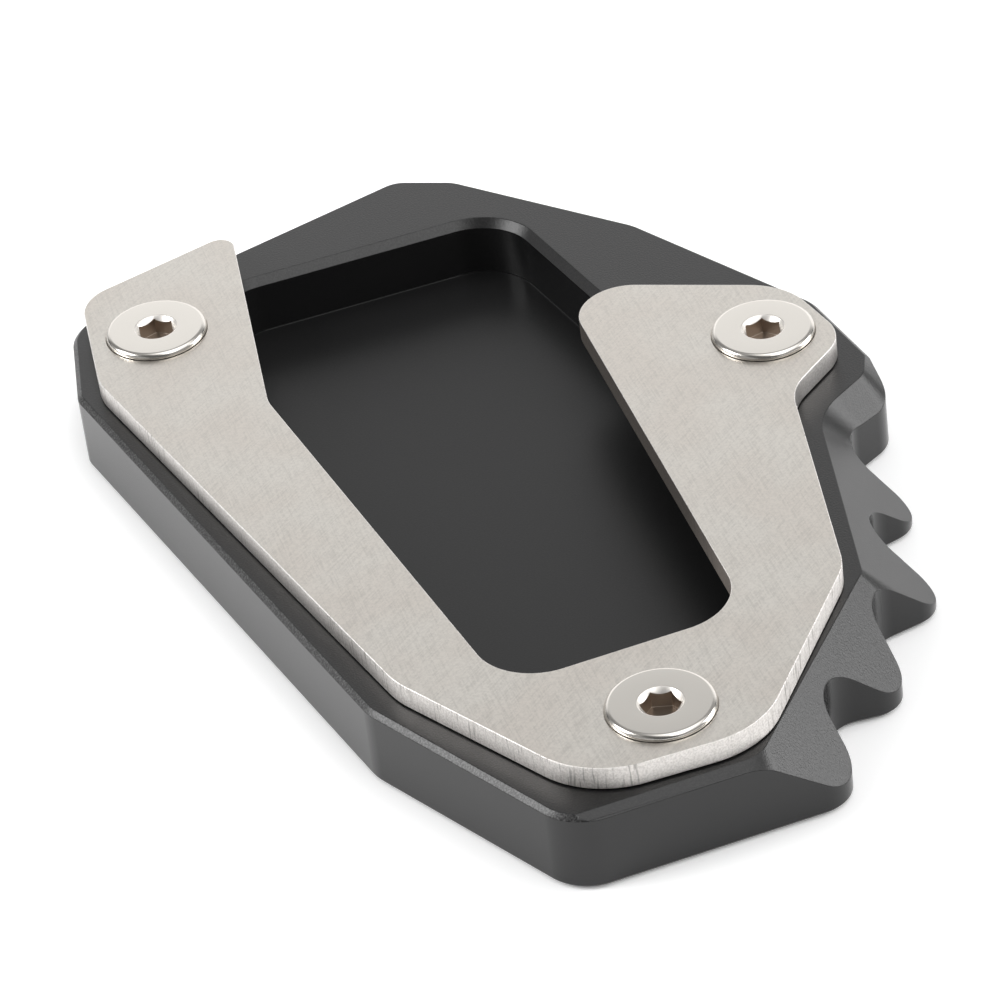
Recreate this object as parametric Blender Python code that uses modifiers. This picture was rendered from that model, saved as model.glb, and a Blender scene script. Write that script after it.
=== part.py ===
"""Kickstand foot enlarger, built as a Blender scene.

A machined base plate takes the foot of a motorcycle's side stand in a pocket. A U-shaped steel
clamp plate lies on top of it, over the pocket's rim, and three countersunk screws pull it down.
The base's long left wall runs along Y, +Z is up, and the origin is on the ground at the middle
of the base's outline.
"""

from math import atan2, cos, pi, radians, sin, tan

import bmesh
import bpy
from mathutils import Vector

# All sizes below are in millimetres
MM = 0.001

# Fits
seat_gap = 0.3            # between pieces that seat on or pass through each other
cut_margin = 2.0          # how far a cutter runs past the face that it cuts
arc_step = radians(6.0)   # longest turn of an arc between two of its points
turned_steps = 48         # facets round a turned piece or a round hole

# Base plate
base_thickness = 10.0
base_chamfer = 0.6        # round the base's upper and lower edges

# Saw teeth along the base's right side, and the long bevel that runs down to them
tooth_tip_radius = 3.7
tooth_root_radius = 4.6
bevel_angle = 45.0
lug_bevel_angle = 51.0    # round the lug, where the bevel is steeper
bevel_lowest = 0.3        # height of the bevel's cutter, below every tooth's tip

# Pocket for the stand's foot
pocket_depth = 7.5
pocket_radius = 7.5       # of its upright corners
pocket_chamfer = 1.0      # round its mouth
pocket_floor_chamfer = 0.5

# Clamp plate
plate_thickness = 2.7
plate_edge_radius = 0.3
plate_inner_radius = 7.5  # of the two inner corners of the U

# Screws, M6 countersunk with a hexagon socket
screw_diameter = 6.0
screw_length = 10.0
head_diameter = 12.4
head_proud = 0.76         # how far the head stands above the plate
head_rim = 0.35           # height of its upright rim
head_rounding = 0.35      # from the rim to the flat disc on top
socket_across_flats = 4.0
socket_depth = 2.3
socket_mouth = 5.2        # diameter of the 45 degree chamfer round the socket
point_chamfer = 0.8
thread_hole_spare = 1.2   # depth of a threaded hole below its screw's point

# Straight walls that other shapes start from
left_wall = -40.86
back_left = (-34.82, 60.44)
back_right = (13.11, 65.27)

# Insets from the left wall of what lies beside it, so that it moves with the wall
left_screw_inset = 12.5
pocket_back_inset = 23.22      # the pocket's back corner
pocket_bend_inset = 12.6       # the bend in the pocket's left wall
pocket_front_inset = 8.6       # the pocket's front corner
arm_back_inset = 8.03          # the clamp plate's left arm, its outer edge at the back wall
arm_shoulder_inset = 2.0
arm_front_inset = 3.4
arm_inner_front_inset = 12.76  # and its inner edge, from the front
arm_inner_bend_inset = 16.76
arm_inner_back_inset = 29.95

# Screw places: x, y, and how far the socket is turned, in degrees
screws = {
    "screw_front": (-16.06, -52.55, 0.0),
    "screw_left": (left_wall + left_screw_inset, 48.3, 41.0),
    "screw_right": (30.34, 2.4, 33.0),
}

# Heights that follow from the sizes
pocket_floor = base_thickness - pocket_depth
plate_bottom = base_thickness + seat_gap
plate_top = plate_bottom + plate_thickness
head_top = plate_top + head_proud
screw_point = head_top - screw_length

# Base outline: x, y and radius of its corners, anticlockwise from the back wall's left end
base_outline = [
    (*back_left, 6.5),
    (left_wall, 45.69, 4.0),
    (left_wall, -30.25, 8.0),
    (-32.46, -60.75, 6.0),
    (1.71, -65.87, 4.6),
    (1.46, -51.93, tooth_root_radius),
    (14.41, -55.58, tooth_tip_radius),
    (14.56, -42.98, tooth_root_radius),
    (29.43, -42.68, tooth_tip_radius),
    (20.17, -28.41, tooth_root_radius),
    (35.71, -27.21, tooth_tip_radius),
    (27.87, -15.28, tooth_root_radius),
    (39.76, -10.96, 5.0),
    (40.94, 8.51, 6.0),
    (32.43, 37.01, 8.0),
    (19.25, 60.38, 5.0),
    (*back_right, 4.0),
]

# Upper edge of the long bevel, from the front wall to the lug: x, y, radius, and the bevel's
# angle along the edge that leaves the corner
bevel_rim = [
    (-34.06, -62.85, 0.0, bevel_angle),
    (-9.96, -62.55, 4.5, bevel_angle),
    (16.29, -41.55, 3.0, bevel_angle),
    (28.64, -12.3, 10.0, lug_bevel_angle),
    (37.24, -8.65, 3.0, lug_bevel_angle),
    (44.94, 2.35, 0.0, lug_bevel_angle),
]
bevel_reach = (75.0, -95.0)   # x and y that the bevel's cutter reaches, outside the base

# Pocket outline at its walls: x, y, radius
pocket_outline = [
    (left_wall + pocket_back_inset, 56.25, pocket_radius),
    (left_wall + pocket_bend_inset, 26.35, pocket_radius),
    (left_wall + pocket_front_inset, -42.75, pocket_radius),
    (5.44, -48.25, pocket_radius),
    (20.34, 19.35, 12.0),
    (20.34, 49.82, pocket_radius),
]


def on_back_wall(x):
    """The point at x of the base's back wall, for the plate's edge that is flush with it."""
    share = (x - back_left[0]) / (back_right[0] - back_left[0])
    return x, back_left[1] + share * (back_right[1] - back_left[1])


# Clamp plate outline: x, y, radius, anticlockwise from the left lug's outer corner
plate_outline = [
    (*on_back_wall(left_wall + arm_back_inset), 5.5),
    (left_wall + arm_shoulder_inset, 42.62, 10.0),
    (left_wall + arm_front_inset, -31.15, 12.0),
    (-28.76, -58.55, 11.0),
    (-9.16, -62.3, 11.5),
    (13.34, -42.75, 8.0),
    (26.76, -9.89, 8.0),
    (37.7, -3.97, 6.0),
    (37.8, 9.45, 9.0),
    (15.87, 26.78, 6.0),
    (0.47, -43.3, plate_inner_radius),
    (left_wall + arm_inner_front_inset, -39.21, plate_inner_radius),
    (left_wall + arm_inner_bend_inset, 26.35, 8.0),
    (*on_back_wall(left_wall + arm_inner_back_inset), 2.0),
]


def outward(direction):
    """The normal on the outer side of an edge of an anticlockwise outline."""
    return Vector((direction.y, -direction.x))


def arc_corner(before, here, after, radius, move_in, move_out):
    """Points of the arc at a corner whose two edges are moved outwards by move_in and move_out."""
    arriving = (here - before).normalized()
    leaving = (after - here).normalized()
    turn = atan2(arriving.cross(leaving), arriving.dot(leaving))
    normal_in, normal_out = outward(arriving), outward(leaving)
    share_in = (move_in - move_out * cos(turn)) / sin(turn) ** 2
    share_out = (move_out - move_in * cos(turn)) / sin(turn) ** 2
    corner = here + normal_in * share_in + normal_out * share_out
    side = 1.0 if turn > 0 else -1.0
    arc_radius = radius + side * (move_in + move_out) / 2
    start = corner - arriving * arc_radius * tan(abs(turn) / 2)
    centre = start - normal_in * side * arc_radius
    first = atan2(start.y - centre.y, start.x - centre.x)
    steps = max(2, round(abs(turn) / arc_step))
    angles = [first + turn * k / steps for k in range(steps + 1)]
    return [centre + Vector((cos(a), sin(a))) * arc_radius for a in angles]


def rounded(corners, outset=0.0):
    """Points of a closed outline with rounded corners, moved outwards by outset."""
    places = [Vector((x, y)) for x, y, radius in corners]
    points = []
    for i, (x, y, radius) in enumerate(corners):
        after = places[(i + 1) % len(places)]
        points += arc_corner(places[i - 1], places[i], after, radius, outset, outset)
    return points


def lofted(name, rings):
    """A closed mesh through rings of equally many points, each given with its height."""
    build = bmesh.new()
    loops = []
    for points, height in rings:
        loops.append([build.verts.new((p.x * MM, p.y * MM, height * MM)) for p in points])
    for lower, upper in zip(loops, loops[1:]):
        for i in range(len(lower)):
            build.faces.new((lower[i - 1], lower[i], upper[i], upper[i - 1]))
    build.faces.new(loops[0])
    build.faces.new(loops[-1])
    bmesh.ops.recalc_face_normals(build, faces=build.faces)
    mesh = bpy.data.meshes.new(name)
    build.to_mesh(mesh)
    build.free()
    return mesh


def sheet(name, points, thickness):
    """An object of the outline's shape, as thick as given and standing on its own origin."""
    return bpy.data.objects.new(name, lofted(name, [(points, 0.0), (points, thickness)]))


def turned(name, profile):
    """An object turned from a profile, which is given in radius and height down its outer side."""
    mesh = bpy.data.meshes.new(name)
    edges = [(i, i + 1) for i in range(len(profile) - 1)]
    mesh.from_pydata([(r * MM, 0.0, z * MM) for r, z in profile], edges, [])
    piece = bpy.data.objects.new(name, mesh)
    screw = piece.modifiers.new("Turned", "SCREW")
    screw.steps = screw.render_steps = turned_steps
    screw.use_merge_vertices = True
    screw.merge_threshold = 0.01 * MM
    screw.use_smooth_shade = True
    return piece


def material(name, colour, metallic, roughness):
    finish = bpy.data.materials.new(name)
    finish.use_nodes = True
    shader = finish.node_tree.nodes["Principled BSDF"]
    shader.inputs["Base Color"].default_value = (*colour, 1.0)
    shader.inputs["Metallic"].default_value = metallic
    shader.inputs["Roughness"].default_value = roughness
    return finish


def as_cutter(piece):
    """Puts an object among the cutters, which shape other pieces and aren't part of the model."""
    cutters.objects.link(piece)
    piece.hide_render = True
    piece.display_type = "WIRE"
    return piece


def cut(piece, cutter):
    boolean = piece.modifiers.new(cutter.name, "BOOLEAN")
    boolean.operation = "DIFFERENCE"
    boolean.solver = "EXACT"
    boolean.object = cutter


def edge_bevel(piece, width, segments):
    """Breaks the sharp edges of a sheet, and leaves the facets of its arcs alone."""
    bevel = piece.modifiers.new("Edges", "BEVEL")
    bevel.width = width * MM
    bevel.segments = segments
    bevel.limit_method = "ANGLE"
    bevel.angle_limit = radians(60)
    bevel.use_clamp_overlap = False


def finished(piece, finish):
    parts.objects.link(piece)
    piece.data.materials.append(finish)
    return piece


def bevel_cutter():
    """What lies outside the bevel's rim and above its slope, down to the teeth."""
    rings = []
    for height in (bevel_lowest, base_thickness + cut_margin):
        drop = base_thickness - height
        moves = [drop / tan(radians(angle)) for x, y, radius, angle in bevel_rim]
        places = [Vector((x, y)) for x, y, radius, angle in bevel_rim]
        first = places[0] + outward((places[1] - places[0]).normalized()) * moves[0]
        last = places[-1] + outward((places[-1] - places[-2]).normalized()) * moves[-2]
        points = [first]
        for i in range(1, len(places) - 1):
            radius = bevel_rim[i][2]
            points += arc_corner(*places[i - 1:i + 2], radius, moves[i - 1], moves[i])
        reach_x, reach_y = bevel_reach
        points += [last, Vector((reach_x, last.y)), Vector(bevel_reach), Vector((first.x, reach_y))]
        rings.append((points, height))
    return as_cutter(bpy.data.objects.new("bevel_cutter", lofted("bevel_cutter", rings)))


def pocket_cutter():
    """The pocket, with a broken edge at its floor and a chamfer that runs on past its mouth."""
    rings = [
        (rounded(pocket_outline, -pocket_floor_chamfer), pocket_floor),
        (rounded(pocket_outline), pocket_floor + pocket_floor_chamfer),
        (rounded(pocket_outline), base_thickness - pocket_chamfer),
        (rounded(pocket_outline, pocket_chamfer + cut_margin), base_thickness + cut_margin),
    ]
    return as_cutter(bpy.data.objects.new("pocket_cutter", lofted("pocket_cutter", rings)))


def thread_hole_cutter(x, y):
    """A blind hole in the base for a screw's threaded shank."""
    radius = screw_diameter / 2 + seat_gap
    bottom = screw_point - thread_hole_spare
    top = base_thickness + cut_margin
    hole = turned("thread_hole", [(0, top), (radius, top), (radius, bottom), (0, bottom - radius / 2)])
    hole.location = (x * MM, y * MM, 0)
    return as_cutter(hole)


def cone_radius(height):
    """Radius of the screw head's 90 degree cone at a height above the plate's upper face."""
    rim_bottom = head_proud - head_rounding - head_rim
    return head_diameter / 2 - (rim_bottom - height)


def countersink_cutter(x, y):
    """A clearance hole and its countersink, a gap wider all round than the screw."""
    hole_radius = screw_diameter / 2 + seat_gap
    spare = seat_gap * 2 ** 0.5
    top = cut_margin
    bottom = -plate_thickness - cut_margin
    waist = hole_radius - cone_radius(0) - spare
    profile = [(0, top), (cone_radius(top) + spare, top)]
    if waist > bottom:
        profile += [(hole_radius, waist), (hole_radius, bottom), (0, bottom)]
    else:
        profile += [(cone_radius(bottom) + spare, bottom), (0, bottom)]
    hole = turned("countersink", profile)
    hole.location = (x * MM, y * MM, plate_top * MM)
    return as_cutter(hole)


def socket_cutter(x, y, turn):
    """The hexagon socket, as a prism that ends in a shallow point."""
    build = bmesh.new()
    across_corners = socket_across_flats / cos(pi / 6)
    height = socket_depth + cut_margin
    bmesh.ops.create_cone(build, cap_ends=True, segments=6, radius1=across_corners / 2 * MM,
                          radius2=across_corners / 2 * MM, depth=height * MM)
    mesh = bpy.data.meshes.new("socket")
    build.to_mesh(mesh)
    build.free()
    socket = bpy.data.objects.new("socket", mesh)
    socket.location = (x * MM, y * MM, (head_top + cut_margin - height / 2) * MM)
    socket.rotation_euler = (0, 0, radians(turn))
    return as_cutter(socket)


def socket_mouth_cutter(x, y):
    """The chamfer round the socket, as a cone as deep as its radius."""
    radius = socket_mouth / 2
    mouth = turned("socket_mouth", [(0, cut_margin), (radius, cut_margin), (radius, 0), (0, -radius)])
    mouth.location = (x * MM, y * MM, head_top * MM)
    return as_cutter(mouth)


def add_base():
    base = sheet("base_plate", rounded(base_outline), base_thickness)
    edge_bevel(base, base_chamfer, 1)
    cut(base, bevel_cutter())
    cut(base, pocket_cutter())
    for x, y, turn in screws.values():
        cut(base, thread_hole_cutter(x, y))
    finished(base, material("black_anodised_aluminium", (0.03, 0.03, 0.032), 0.6, 0.5))


def add_plate():
    plate = sheet("clamp_plate", rounded(plate_outline), plate_thickness)
    plate.location.z = plate_bottom * MM
    edge_bevel(plate, plate_edge_radius, 2)
    for x, y, turn in screws.values():
        cut(plate, countersink_cutter(x, y))
    finished(plate, material("brushed_stainless_steel", (0.60, 0.58, 0.55), 1.0, 0.35))


def add_screw(name, x, y, turn, finish):
    """A turned screw whose origin is at the middle of its head's upper face."""
    rim = head_diameter / 2
    shank = screw_diameter / 2
    rim_top = -head_rounding
    rim_bottom = rim_top - head_rim
    point_top = point_chamfer - screw_length
    profile = [(0, 0), (rim - head_rounding, 0), (rim - head_rounding * 0.3, rim_top * 0.3), (rim, rim_top)]
    profile += [(rim, rim_bottom), (shank, rim_bottom - rim + shank)]
    profile += [(shank, point_top), (shank - point_chamfer, -screw_length), (0, -screw_length)]
    screw = turned(name, profile)
    screw.location = (x * MM, y * MM, head_top * MM)
    cut(screw, socket_mouth_cutter(x, y))
    cut(screw, socket_cutter(x, y, turn))
    finished(screw, finish)


for old in list(bpy.data.objects):
    bpy.data.objects.remove(old)

parts = bpy.data.collections.new("kickstand_foot_enlarger")
cutters = bpy.data.collections.new("cutters")
for collection in (parts, cutters):
    bpy.context.scene.collection.children.link(collection)

add_base()
add_plate()
nickel = material("nickel_plated_steel", (0.72, 0.69, 0.64), 1.0, 0.15)
for screw_name, (screw_x, screw_y, screw_turn) in screws.items():
    add_screw(screw_name, screw_x, screw_y, screw_turn, nickel)
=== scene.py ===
# The kickstand foot enlarger in its photographed look. Every CAD node is rebuilt here with
# finer arcs and broken edges at the same sizes, and shown with a procedural material.
# Lengths are in millimetres unless a name says otherwise, and angles in degrees.

from math import atan2, cos, pi, radians, sin, tan

import bmesh
import bpy
from mathutils import Matrix, Vector


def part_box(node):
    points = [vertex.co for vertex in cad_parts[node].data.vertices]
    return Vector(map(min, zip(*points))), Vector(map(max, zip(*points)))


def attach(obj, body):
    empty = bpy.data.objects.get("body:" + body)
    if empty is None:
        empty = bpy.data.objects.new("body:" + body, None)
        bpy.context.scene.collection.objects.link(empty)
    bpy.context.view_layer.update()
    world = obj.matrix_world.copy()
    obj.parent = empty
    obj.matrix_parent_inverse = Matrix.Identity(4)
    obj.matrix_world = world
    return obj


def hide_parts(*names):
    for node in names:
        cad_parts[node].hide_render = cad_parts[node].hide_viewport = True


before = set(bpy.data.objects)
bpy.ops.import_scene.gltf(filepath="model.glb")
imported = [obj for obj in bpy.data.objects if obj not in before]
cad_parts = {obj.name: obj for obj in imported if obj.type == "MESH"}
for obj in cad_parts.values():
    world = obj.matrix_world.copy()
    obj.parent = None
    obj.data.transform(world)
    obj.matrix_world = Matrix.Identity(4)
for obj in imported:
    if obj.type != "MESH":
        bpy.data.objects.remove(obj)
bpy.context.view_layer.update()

MM = 0.001
arc_step = radians(3.0)
turned_steps = 96
cut_margin = 2.0  # how far a cutter stands out past what it cuts
merge_distance = 0.004
sliver_length = 0.002

base_thickness = 10.0
base_chamfer = 0.6
base_edge_round = 0.08

plate_gap = 0.18  # shows as the thin dark line of the photograph
plate_bottom = base_thickness + plate_gap
plate_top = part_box("clamp_plate")[1].z / MM
plate_thickness = plate_top - plate_bottom
plate_edge_radius = 0.1
plate_edge_round = 0.06

pocket_floor = 2.5
pocket_floor_edge = 0.1
pocket_chamfer = 1.0

# The screws, with heights from the top of the head
head_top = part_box("screw_front")[1].z / MM
head_radius = 6.2
head_rounding = 0.6
head_rim_bottom = -0.70
shank_radius = 3.0
shank_bottom = -9.2
point_radius, point_bottom = 2.2, -10.0
socket_across_flats = 4.0
socket_depth = 2.3
mouth_radius = 2.6
mouth_bottom = -0.62  # just below the end of the mouth's cone on the socket's flats
screw_edge_round = 0.05

# The screws' holes, with heights from the ground
hole_radius = 3.3
hole_bottom, hole_tip = 2.56, 0.91
rim_above_plate = 0.06  # the lower end of the head's upright rim, over the plate's top
countersink_gap = 0.09  # square to the cone

# Place of each screw and the turn of its socket
screws = {
    "screw_front": (-16.06, -52.55, 0.0),
    "screw_left": (-28.36, 48.3, 41.0),
    "screw_right": (30.34, 2.4, 33.0),
}

# Corners of the outlines, each with its radius
back_left = (-34.82, 60.44)
back_right = (13.11, 65.27)
base_outline = [
    (*back_left, 6.5), (-40.86, 45.69, 4.0), (-40.86, -30.25, 8.0), (-32.46, -60.75, 6.0),
    (1.71, -65.87, 4.6), (1.46, -51.93, 4.6), (14.41, -55.58, 3.7), (14.56, -42.98, 4.6),
    (29.43, -42.68, 3.7), (20.17, -28.41, 4.6), (35.71, -27.21, 3.7), (27.87, -15.28, 4.6),
    (39.76, -10.96, 5.0), (40.94, 8.51, 6.0), (32.43, 37.01, 8.0), (19.25, 60.38, 5.0),
    (*back_right, 4.0),
]
pocket_outline = [
    (-17.64, 56.25, 7.5), (-28.26, 26.35, 7.5), (-32.26, -42.75, 7.5), (5.44, -48.25, 7.5),
    (20.34, 19.35, 12.0), (20.34, 49.82, 7.5),
]
# The long bevel's inner edge, each corner with its radius and the angle of the slope that follows
bevel_rim = [
    (-34.06, -59.2, 0.0, 28.0), (-9.96, -62.8, 4.5, 45.0), (16.29, -41.55, 3.0, 45.0),
    (28.64, -12.3, 10.0, 51.0), (37.24, -8.65, 4.0, 51.0), (44.94, 2.35, 0.0, 51.0),
]
bevel_foot = 0.3
bevel_reach, bevel_front = 75.0, -95.0  # outer sides of its cutter, well past the base


def on_back_wall(x):
    share = (x - back_left[0]) / (back_right[0] - back_left[0])
    return x, back_left[1] + share * (back_right[1] - back_left[1])


right_arm_foot = (0.47, -43.3)
right_arm_lean = 0.22  # how far the right arm's inner edge moves right over its length
plate_outline = [
    (*on_back_wall(-32.83), 5.5), (-38.86, 42.62, 10.0), (-37.46, -31.15, 12.0),
    (-28.76, -58.55, 11.0), (-9.16, -62.3, 11.5), (13.34, -42.75, 8.0), (26.76, -9.89, 8.0),
    (37.7, -3.97, 6.0), (37.8, 9.45, 9.0), (15.87, 26.78, 6.0), (*right_arm_foot, 7.5),
    (-28.1, -39.21, 7.5), (-24.1, 26.35, 8.0), (*on_back_wall(-10.91), 2.0),
]


def outward(direction):
    return Vector((direction.y, -direction.x))


def arc_corner(before, here, after, radius, move_in, move_out):
    """Points of the arc at a corner whose two edges are moved outwards."""
    arriving = (here - before).normalized()
    leaving = (after - here).normalized()
    turn = atan2(arriving.cross(leaving), arriving.dot(leaving))
    normal_in, normal_out = outward(arriving), outward(leaving)
    share_in = (move_in - move_out * cos(turn)) / sin(turn) ** 2
    share_out = (move_out - move_in * cos(turn)) / sin(turn) ** 2
    corner = here + normal_in * share_in + normal_out * share_out
    side = 1.0 if turn > 0 else -1.0
    arc_radius = radius + side * (move_in + move_out) / 2
    start = corner - arriving * arc_radius * tan(abs(turn) / 2)
    centre = start - normal_in * side * arc_radius
    first = atan2(start.y - centre.y, start.x - centre.x)
    steps = max(2, round(abs(turn) / arc_step))
    angles = [first + turn * k / steps for k in range(steps + 1)]
    return [centre + Vector((cos(a), sin(a))) * arc_radius for a in angles]


def rounded(corners, outset=0.0):
    places = [Vector((x, y)) for x, y, radius in corners]
    points = []
    for i, (x, y, radius) in enumerate(corners):
        after = places[(i + 1) % len(places)]
        points += arc_corner(places[i - 1], places[i], after, radius, outset, outset)
    return points


def mesh_of(name, build):
    """The finished mesh of a bmesh, with its faces turned outwards."""
    bmesh.ops.recalc_face_normals(build, faces=build.faces)
    mesh = bpy.data.meshes.new(name)
    build.to_mesh(mesh)
    build.free()
    return mesh


def lofted(name, rings):
    """A closed mesh through rings of equally many points, each given with its height."""
    build = bmesh.new()
    loops = [[build.verts.new((p.x * MM, p.y * MM, z * MM)) for p in points] for points, z in rings]
    for lower, upper in zip(loops, loops[1:]):
        for i in range(len(lower)):
            build.faces.new((lower[i - 1], lower[i], upper[i], upper[i - 1]))
    build.faces.new(loops[0])
    build.faces.new(loops[-1])
    return mesh_of(name, build)


def edged(outline, bottom, top, drop, segments):
    """Rings of a plate whose two edges are broken over a drop: flat for one segment, round for more."""
    rings = []
    for k in range(segments + 1):
        a = pi / 2 * k / segments
        inset = drop * (1 - sin(a)) if segments > 1 else drop * (1 - k)
        rise = drop * (1 - cos(a)) if segments > 1 else drop * k
        rings.append((rounded(outline, -inset), bottom + rise))
    return rings + [(points, bottom + top - z) for points, z in reversed(rings)]


def turned_mesh(name, profile):
    """A closed mesh turned from a profile of radius and height, which starts and ends on the axis."""
    build = bmesh.new()
    turns = [2 * pi * k / turned_steps for k in range(turned_steps)]
    rings = []
    for r, z in profile:
        spokes = turns if r else turns[:1]
        rings.append([build.verts.new((r * cos(a) * MM, r * sin(a) * MM, z * MM)) for a in spokes])
    for upper, lower in zip(rings, rings[1:]):
        for i in range(turned_steps):
            corners = [ring[place % len(ring)] for ring, place in
                       ((upper, i), (upper, i + 1), (lower, i + 1), (lower, i))]
            build.faces.new(list(dict.fromkeys(corners)))
    return mesh_of(name, build)


def prism_mesh(name, across_flats, bottom, top, turn):
    points = [Vector((cos(a), sin(a))) * across_flats / 2 / cos(pi / 6)
              for a in [turn + pi / 2 + k * pi / 3 for k in range(6)]]
    return lofted(name, [(points, bottom), (points, top)])


def placed(name, mesh, location=(0, 0, 0)):
    piece = bpy.data.objects.new(name, mesh)
    piece.location = Vector(location) * MM
    bpy.context.scene.collection.objects.link(piece)
    return piece


def without(piece, cutters):
    """The piece with the cutters' shapes taken out of it, and the cutters removed."""
    for cutter in cutters:
        boolean = piece.modifiers.new(cutter.name, "BOOLEAN")
        boolean.operation = "DIFFERENCE"
        boolean.solver = "EXACT"
        boolean.object = cutter
    bpy.context.view_layer.update()
    mesh = bpy.data.meshes.new_from_object(piece.evaluated_get(bpy.context.evaluated_depsgraph_get()))
    piece.modifiers.clear()
    piece.data = mesh
    for cutter in cutters:
        bpy.data.objects.remove(cutter)
    build = bmesh.new()
    build.from_mesh(mesh)
    bmesh.ops.remove_doubles(build, verts=build.verts, dist=merge_distance * MM)
    bmesh.ops.dissolve_degenerate(build, edges=build.edges, dist=sliver_length * MM)
    build.to_mesh(mesh)
    build.free()
    return piece


def softened(piece, width, limit=28.0):
    """Rounds the edges sharper than the limit, and shades the piece smooth between them."""
    bevel = piece.modifiers.new("Edges", "BEVEL")
    bevel.width = width * MM
    bevel.segments = 2
    bevel.limit_method = "ANGLE"
    bevel.angle_limit = radians(limit)
    bevel.harden_normals = False
    bevel.use_clamp_overlap = False
    bevel.miter_outer = "MITER_SHARP"
    for polygon in piece.data.polygons:
        polygon.use_smooth = True
    weighted = piece.modifiers.new("Normals", "WEIGHTED_NORMAL")
    weighted.mode = "FACE_AREA_WITH_ANGLE"
    weighted.weight = 80
    weighted.keep_sharp = True


def shown(piece, node, materials, chosen):
    """Dresses a piece: chosen gives the number of a face's material from its centre and normal."""
    for finish in materials:
        piece.data.materials.append(finish)
    for polygon in piece.data.polygons:
        polygon.material_index = chosen(polygon.center / MM, polygon.normal)
    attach(piece, "root")
    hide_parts(node)


# The upward part of a face's normal: 0 on an upright face, 1 on a level one
upright_below = 0.3
level_above = 0.97
broken_edge_from, broken_edge_to = 0.6, 0.8
# How far the faces of the top's broken edge and of the pocket's floor reach from those heights
top_zone = 0.4
floor_zone = 0.5
# The opening of the plate's U, with a margin for its wall
opening_left, opening_front, opening_back, opening_margin = -29.5, -44.5, 59.0, 1.53


def in_pocket(centre):
    """Whether a place lies within the straight-sided box round the pocket."""
    across = [x for x, y, radius in pocket_outline]
    along = [y for x, y, radius in pocket_outline]
    return min(across) < centre.x < max(across) and min(along) < centre.y < max(along)


def base_finish(centre, normal):
    """Top and slopes 0, upright walls 1, the pocket's floor and its edge 2, whose darker finish is painted
    shade, and the top's broken edge 3, whose lighter grain is a painted highlight.
    """
    if abs(normal.z) < upright_below:
        return 1
    if in_pocket(centre):
        # The pocket's floor gets the darker finish that paints the shade in the pocket
        return 2 if normal.z > upright_below and abs(centre.z - pocket_floor) < floor_zone else 0
    at_top = centre.z > base_thickness - top_zone
    # The top's broken edge gets the lighter finish that paints a highlight along it
    return 3 if at_top and broken_edge_from < normal.z < broken_edge_to else 0


def in_opening(centre):
    """Whether a place lies within the opening of the plate's U or on its wall."""
    foot_x, foot_y = right_arm_foot
    right_arm = foot_x + (centre.y - foot_y) * right_arm_lean + opening_margin
    return opening_left < centre.x < right_arm and opening_front < centre.y < opening_back


def plate_finish(centre, normal):
    """The flat faces 0, the cut edge with its rounding 1, and the upright wall inside the U 2, in a darker
    copy of the cut edge as painted shade.
    """
    if abs(normal.z) > level_above:
        return 0
    return 2 if abs(normal.z) < upright_below and in_opening(centre) else 1


def screw_finish(centre, normal):
    """The head 0, the walls and floor of its socket 1, a darker copy as painted shade, and the socket's
    mouth 2, a lighter and rougher copy whose lighter colour is painted light.
    """
    from_axis = centre.xy.length
    if centre.z < mouth_bottom:
        corner_radius = socket_across_flats / 2 / cos(pi / 6)
        return 1 if from_axis < corner_radius and centre.z > -socket_depth - 0.1 else 0
    # The mouth gets the lighter copy that paints its light
    return 2 if from_axis < mouth_radius + 0.05 and normal.z < level_above else 0


def bevel_cutter():
    rings = []
    places = [Vector((x, y)) for x, y, radius, angle in bevel_rim]
    for height in (bevel_foot, base_thickness + cut_margin):
        drop = base_thickness - height
        moves = [drop / tan(radians(angle)) for x, y, radius, angle in bevel_rim]
        first = places[0] + outward((places[1] - places[0]).normalized()) * moves[0]
        last = places[-1] + outward((places[-1] - places[-2]).normalized()) * moves[-2]
        points = [first]
        for i in range(1, len(places) - 1):
            points += arc_corner(*places[i - 1:i + 2], bevel_rim[i][2], moves[i - 1], moves[i])
        points += [last, Vector((bevel_reach, last.y)), Vector((bevel_reach, bevel_front)),
                   Vector((first.x, bevel_front))]
        rings.append((points, height))
    return placed("bevel_cutter", lofted("bevel_cutter", rings))


def pocket_cutter():
    rings = [
        (rounded(pocket_outline, -pocket_floor_edge), pocket_floor),
        (rounded(pocket_outline), pocket_floor + pocket_floor_edge),
        (rounded(pocket_outline), base_thickness - pocket_chamfer),
        (rounded(pocket_outline, pocket_chamfer + cut_margin), base_thickness + cut_margin),
    ]
    return placed("pocket_cutter", lofted("pocket_cutter", rings))


def thread_hole_cutter(x, y):
    above = base_thickness + cut_margin
    profile = [(0, above), (hole_radius, above), (hole_radius, hole_bottom), (0, hole_tip)]
    return placed("thread_hole", turned_mesh("thread_hole", profile), (x, y, 0))


def countersink_cutter(x, y):
    """A 90 degree cone with its gap round the head, and a plain hole below it."""
    cone = head_radius - rim_above_plate + countersink_gap * 2 ** 0.5
    below = -plate_thickness - cut_margin
    profile = [(0, cut_margin), (cone + cut_margin, cut_margin), (hole_radius, hole_radius - cone),
               (hole_radius, below), (0, below)]
    return placed("countersink", turned_mesh("countersink", profile), (x, y, plate_top))


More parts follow.
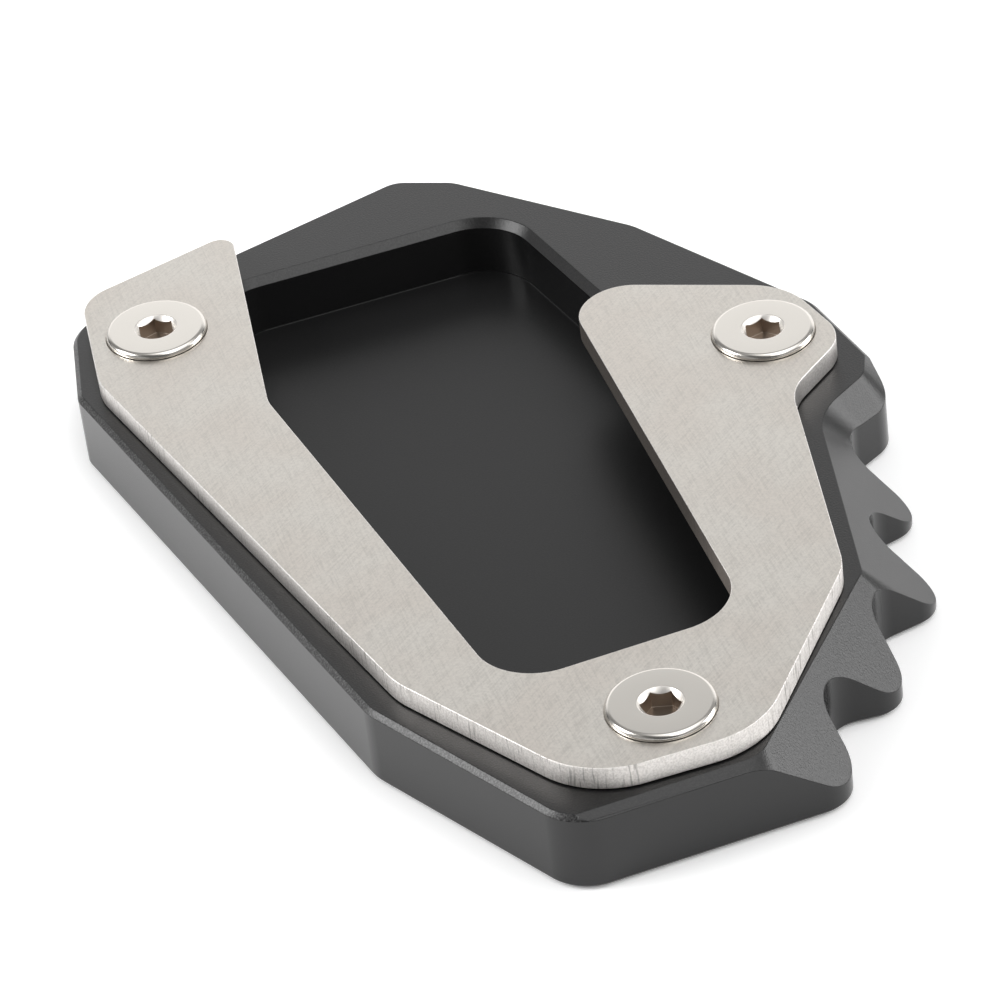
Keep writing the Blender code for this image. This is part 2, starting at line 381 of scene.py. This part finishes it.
def screw_body(name, x, y, turn):
    angles = [radians(10 * k) for k in range(10)]
    rim = [(head_radius - head_rounding * (1 - sin(a)), head_rounding * (cos(a) - 1)) for a in angles]
    cone_bottom = head_rim_bottom + shank_radius - head_radius
    profile = [(0, 0)] + rim + [
        (head_radius, head_rim_bottom), (shank_radius, cone_bottom), (shank_radius, shank_bottom),
        (point_radius, point_bottom), (0, point_bottom)]
    where = (x, y, head_top)
    mouth_profile = [(0, cut_margin), (mouth_radius, cut_margin), (mouth_radius, 0), (0, -mouth_radius)]
    mouth = placed("mouth", turned_mesh("mouth", mouth_profile), where)
    hexagon = prism_mesh("socket", socket_across_flats, -socket_depth, cut_margin, radians(turn))
    screw = placed(name + "_body", turned_mesh(name + "_body", profile), where)
    return without(screw, [mouth, placed("socket", hexagon, where)])


def nodes_of(name):
    finish = bpy.data.materials.new(name)
    finish.use_nodes = True
    return finish, finish.node_tree.nodes, finish.node_tree.links


def metal_of(name):
    finish, nodes, links = nodes_of(name)
    shader = nodes["Principled BSDF"]
    shader.inputs["Metallic"].default_value = 1.0
    return finish, nodes, links, shader


def textured(nodes, links, kind, source, scale, detail=2.0):
    """A texture node of a kind over the source's coordinates, with its scale per metre."""
    texture = nodes.new(kind)
    texture.inputs["Scale"].default_value = scale
    if "Detail" in texture.inputs:
        texture.inputs["Detail"].default_value = detail
    links.new(source, texture.inputs["Vector"])
    return texture


def noise(nodes, links, source, scale, detail=2.0):
    return textured(nodes, links, "ShaderNodeTexNoise", source, scale, detail).outputs["Fac"]


def lined(nodes, links, source, turn, scale):
    """Noise drawn out into lines: the scale is per metre, along axes turned by an angle about Z."""
    along = nodes.new("ShaderNodeMapping")
    along.vector_type = "TEXTURE"
    along.inputs["Rotation"].default_value = (0, 0, radians(turn))
    along.inputs["Scale"].default_value = [1 / value for value in scale]
    links.new(source, along.inputs["Vector"])
    return noise(nodes, links, along.outputs["Vector"], 1.0, 3.0)


def ranged(nodes, links, source, low, high, to_low=0.0, to_high=1.0):
    spread = nodes.new("ShaderNodeMapRange")
    for name, value in (("From Min", low), ("From Max", high), ("To Min", to_low), ("To Max", to_high)):
        spread.inputs[name].default_value = value
    links.new(source, spread.inputs["Value"])
    return spread.outputs["Result"]


def combined(nodes, links, operation, first, second):
    """A Math node over a source and a number or another source."""
    math = nodes.new("ShaderNodeMath")
    math.operation = operation
    links.new(first, math.inputs[0])
    if isinstance(second, float):
        math.inputs[1].default_value = second
    else:
        links.new(second, math.inputs[1])
    return math.outputs[0]


def mixed(nodes, links, factor, first, second):
    """A colour mix: each of the two is a colour or another node's output."""
    mix = nodes.new("ShaderNodeMix")
    mix.data_type = "RGBA"
    links.new(factor, mix.inputs[0])
    for socket, colour in ((mix.inputs[6], first), (mix.inputs[7], second)):
        if isinstance(colour, tuple):
            socket.default_value = (*colour, 1)
        else:
            links.new(colour, socket)
    return mix.outputs[2]


def bumped(nodes, links, height, strength, distance):
    bump = nodes.new("ShaderNodeBump")
    bump.inputs["Strength"].default_value = strength
    bump.inputs["Distance"].default_value = distance * MM
    links.new(height, bump.inputs["Height"])
    links.new(bump.outputs["Normal"], nodes["Principled BSDF"].inputs["Normal"])


def anodised(name, dark, light, grain_bump, roughness, specular=0.5):
    """Black anodised aluminium: nearly black, satin, with a fine grain and a few specks of dust."""
    finish, nodes, links = nodes_of(name)
    shader = nodes["Principled BSDF"]
    where = nodes.new("ShaderNodeTexCoord").outputs["Object"]
    grain = noise(nodes, links, where, 4400.0)
    body = mixed(nodes, links, ranged(nodes, links, grain, 0.40, 0.70), dark, light)
    dust = textured(nodes, links, "ShaderNodeTexVoronoi", where, 600.0)
    near = combined(nodes, links, "LESS_THAN", dust.outputs["Distance"], 0.07)
    chance = nodes.new("ShaderNodeSeparateColor")
    links.new(dust.outputs["Color"], chance.inputs["Color"])
    chosen = combined(nodes, links, "GREATER_THAN", chance.outputs["Red"], 0.62)
    speck = combined(nodes, links, "MULTIPLY", near, chosen)
    links.new(mixed(nodes, links, speck, body, (0.32, 0.32, 0.31)), shader.inputs["Base Color"])
    bumped(nodes, links, grain, grain_bump, 0.03)
    shader.inputs["Roughness"].default_value = roughness
    shader.inputs["Specular IOR Level"].default_value = specular
    return finish


def brushed_steel():
    """Stainless steel, finely brushed across two diagonals, with faint warm and cool patches."""
    finish, nodes, links, shader = metal_of("brushed_steel")
    where = nodes.new("ShaderNodeTexCoord").outputs["Object"]
    patch = noise(nodes, links, where, 90.0)
    grain = noise(nodes, links, where, 3200.0, 3.0)
    lines, cross = [lined(nodes, links, where, turn, (5200.0, 260.0, 900.0)) for turn in (-12.0, -62.0)]
    brush = combined(nodes, links, "MULTIPLY", combined(nodes, links, "ADD", lines, cross), 0.5)
    warmth = ranged(nodes, links, patch, 0.38, 0.62)
    mottling = ranged(nodes, links, grain, 0.34, 0.60, 0.30, 0.0)
    marking = ranged(nodes, links, brush, 0.38, 0.52, 0.34, 0.0)
    tone = mixed(nodes, links, warmth, (0.685, 0.643, 0.592), (0.705, 0.675, 0.627))
    mottled = mixed(nodes, links, mottling, tone, (0.48, 0.455, 0.425))
    marked = mixed(nodes, links, marking, mottled, (0.44, 0.42, 0.39))
    links.new(marked, shader.inputs["Base Color"])
    links.new(ranged(nodes, links, brush, 0.3, 0.7, 0.28, 0.42), shader.inputs["Roughness"])
    bumped(nodes, links, grain, 0.06, 0.02)
    return finish


def milled_edge(name, dark, light):
    """The plate's cut edge: rougher steel with fine marks, and darker upright streaks here and there."""
    finish, nodes, links, shader = metal_of(name)
    where = nodes.new("ShaderNodeTexCoord").outputs["Object"]
    fine = noise(nodes, links, where, 4200.0)
    marks = ranged(nodes, links, lined(nodes, links, where, 0.0, (2900.0, 2900.0, 260.0)), 0.44, 0.36)
    place = ranged(nodes, links, noise(nodes, links, where, 120.0, 1.0), 0.46, 0.60, 0.05, 0.60)
    streaks = combined(nodes, links, "MULTIPLY", marks, place)
    body = mixed(nodes, links, ranged(nodes, links, fine, 0.35, 0.65), dark, light)
    links.new(mixed(nodes, links, streaks, body, (0.30, 0.28, 0.26)), shader.inputs["Base Color"])
    along = nodes.new("ShaderNodeSeparateXYZ")
    links.new(where, along.inputs[0])
    # The front of the plate, past 22 to 34 mm from the middle, was finished more roughly
    rough = ranged(nodes, links, along.outputs["Y"], -22.0 * MM, -34.0 * MM, 0.39, 0.56)
    links.new(rough, shader.inputs["Roughness"])
    bumped(nodes, links, fine, 0.25, 0.03)
    return finish


def plated(name, colour, roughness):
    """Plain metal, for the screws, the painted shade inside their sockets and the painted light on their
    mouths.
    """
    finish, nodes, links, shader = metal_of(name)
    shader.inputs["Base Color"].default_value = (*colour, 1)
    shader.inputs["Roughness"].default_value = roughness
    return finish


base_finishes = [
    anodised("black_anodised_top", (0.005, 0.005, 0.0053), (0.016, 0.0155, 0.0155), 0.85, 0.30),
    anodised("black_anodised_wall", (0.008, 0.008, 0.0085), (0.012, 0.012, 0.012), 0.12, 0.20),
    # The pocket's floor: rougher than the top, with a darker colour and a weaker reflection as painted
    # shade in the pocket
    anodised("black_anodised_floor_painted_shade", (0.005, 0.005, 0.0053), (0.009, 0.009, 0.009), 0.25, 0.40, 0.38),
    # The top's broken edge: a real grain, made far lighter than the top's as a painted highlight along the
    # edge
    anodised("black_anodised_edge_painted_highlight", (0.006, 0.006, 0.0063), (0.085, 0.084, 0.084), 1.0, 0.34),
]
plate_finishes = [
    brushed_steel(),
    milled_edge("milled_edge", (0.74, 0.71, 0.68), (0.92, 0.89, 0.86)),
    # A darker copy of the cut edge's finish: painted shade on the upright wall inside the U
    milled_edge("milled_edge_painted_shade", (0.48, 0.43, 0.39), (0.60, 0.54, 0.49)),
]
screw_finishes = [
    plated("nickel", (0.70, 0.67, 0.625), 0.17),
    # A darker, browner copy of the nickel: painted shade inside the sockets
    plated("nickel_painted_socket_shade", (0.42, 0.36, 0.31), 0.30),
    # A rougher copy of the nickel whose lighter colour is painted light on the sockets' mouths
    plated("nickel_rough_mouth_painted_light", (0.80, 0.77, 0.73), 0.42),
]

base_rings = edged(base_outline, 0.0, base_thickness, base_chamfer, 1)
base = placed("base_body", lofted("base_body", base_rings))
thread_holes = [thread_hole_cutter(x, y) for x, y, turn in screws.values()]
base = without(base, [bevel_cutter(), pocket_cutter()] + thread_holes)
softened(base, base_edge_round)
shown(base, "base_plate", base_finishes, base_finish)

plate_rings = edged(plate_outline, plate_bottom, plate_top, plate_edge_radius, 3)
plate = placed("clamp_body", lofted("clamp_body", plate_rings))
plate = without(plate, [countersink_cutter(x, y) for x, y, turn in screws.values()])
softened(plate, plate_edge_round, 32.0)
shown(plate, "clamp_plate", plate_finishes, plate_finish)

for screw_name, (screw_x, screw_y, socket_turn) in screws.items():
    screw = screw_body(screw_name, screw_x, screw_y, socket_turn)
    softened(screw, screw_edge_round, 32.0)
    shown(screw, screw_name, screw_finishes, screw_finish)

floor_size = 6.0  # metres
floor_glow = 0.18
tent_level = 0.38
darkest_level = 0.14
# Direction, half angles of the even middle and of the soft edge, and the change of level
world_patches = [
    ((0.41, 0.86, -0.33), 47.0, 63.0, 1.05),
    ((-0.225, 0.974, 0.0), 8.0, 28.0, -0.8),
    ((0.972, 0.207, 0.105), 5.0, 15.0, -0.6),
    ((0.25, -0.30, 0.92), 12.0, 40.0, 1.25),
    ((0.0895, -0.6365, 0.766), 8.0, 20.0, 1.45),
    ((0.24, 0.10, 0.965), 8.0, 26.0, 0.6),
    ((-0.333, 0.714, 0.616), 8.0, 22.0, -0.12),
    ((-0.430, -0.478, 0.766), 14.0, 28.0, -0.40),
    ((-0.34, -0.74, 0.50), 14.0, 28.0, -0.36),
    ((-0.34, -0.74, 0.05), 14.0, 28.0, -0.30),
]
# Direction, width and height in metres, and radiance
lamp_distance = 0.9  # metres
lamps = {
    "left_box": ((-0.757, 0.337, 0.559), 0.46, 0.54, 7.0),
    "right_box": ((0.89, -0.27, 0.37), 0.50, 0.34, 5.4),
}
# Solved from the photograph
camera_place = (-206.93, -435.85, 346.2)
camera_forward = (0.3391, 0.7419, -0.5784)
camera_right = (0.9095, -0.4157, 0.0)
camera_roll = 7.507
camera_lens = 180.84
camera_sensor = 36.0


def staged_floor():
    """A white floor that keeps the object's shadow, and glows a little to the camera and in reflections."""
    bpy.ops.mesh.primitive_plane_add(size=floor_size, location=(0, 0, -0.02 * MM))
    floor = bpy.context.object
    floor.name = "floor"
    finish, nodes, links = nodes_of("white_floor")
    shader = nodes["Principled BSDF"]
    shader.inputs["Base Color"].default_value = (0.97, 0.97, 0.97, 1)
    shader.inputs["Roughness"].default_value = 0.9
    shader.inputs["Specular IOR Level"].default_value = 0.0
    shader.inputs["Emission Color"].default_value = (1, 1, 1, 1)
    ray = nodes.new("ShaderNodeLightPath").outputs
    seen = combined(nodes, links, "MAXIMUM", ray["Is Camera Ray"], ray["Is Glossy Ray"])
    glow = combined(nodes, links, "MULTIPLY", seen, floor_glow)
    links.new(glow, shader.inputs["Emission Strength"])
    floor.data.materials.append(finish)


def softbox(name, direction, width, height, radiance):
    """A lamp in a direction from the object, facing it."""
    towards = Vector(direction).normalized()
    data = bpy.data.lights.new(name, "AREA")
    data.shape = "RECTANGLE"
    data.size = width
    data.size_y = height
    data.energy = radiance * pi * width * height
    light = bpy.data.objects.new(name, data)
    light.location = towards * lamp_distance
    light.rotation_euler = towards.to_track_quat("Z", "Y").to_euler()
    light.visible_camera = False
    bpy.context.scene.collection.objects.link(light)


def light_world():
    """An even tent with lighter and darker patches, which is white to the camera."""
    world = bpy.data.worlds.new("studio")
    bpy.context.scene.world = world
    world.use_nodes = True
    nodes, links = world.node_tree.nodes, world.node_tree.links
    where = nodes.new("ShaderNodeTexCoord").outputs["Generated"]
    total = tent_level
    for direction, inner, outer, amount in world_patches:
        along = nodes.new("ShaderNodeVectorMath")
        along.operation = "DOT_PRODUCT"
        along.inputs[1].default_value = Vector(direction).normalized()
        links.new(where, along.inputs[0])
        patch = nodes.new("ShaderNodeMapRange")
        patch.interpolation_type = "SMOOTHSTEP"
        patch.inputs["From Min"].default_value = cos(radians(outer))
        patch.inputs["From Max"].default_value = cos(radians(inner))
        patch.inputs["To Max"].default_value = amount
        links.new(along.outputs["Value"], patch.inputs["Value"])
        total = combined(nodes, links, "ADD", patch.outputs["Result"], total)
    lit = combined(nodes, links, "MAXIMUM", total, darkest_level)
    seen = nodes.new("ShaderNodeLightPath").outputs["Is Camera Ray"]
    white = combined(nodes, links, "MAXIMUM", lit, seen)
    nodes["Background"].inputs["Color"].default_value = (1, 1, 1, 1)
    links.new(white, nodes["Background"].inputs["Strength"])


def photo_camera():
    """Looks from the photograph's place, turned as the photograph is."""
    roll = radians(camera_roll)
    forward = Vector(camera_forward).normalized()
    right = Vector(camera_right).normalized()
    down = forward.cross(right)
    across = right * cos(roll) + down * sin(roll)
    lower = down * cos(roll) - right * sin(roll)
    data = bpy.data.cameras.new("photo_camera")
    data.lens = camera_lens
    data.sensor_width = camera_sensor
    data.clip_start = 0.01
    data.clip_end = 20.0
    camera = bpy.data.objects.new("photo_camera", data)
    turn = Matrix((across, -lower, -forward)).transposed()
    camera.matrix_world = Matrix.Translation(Vector(camera_place) * MM) @ turn.to_4x4()
    bpy.context.scene.collection.objects.link(camera)
    bpy.context.scene.camera = camera


staged_floor()
light_world()
for lamp_name, lamp in lamps.items():
    softbox(lamp_name, *lamp)
photo_camera()
bpy.context.scene.view_settings.view_transform = "Standard"
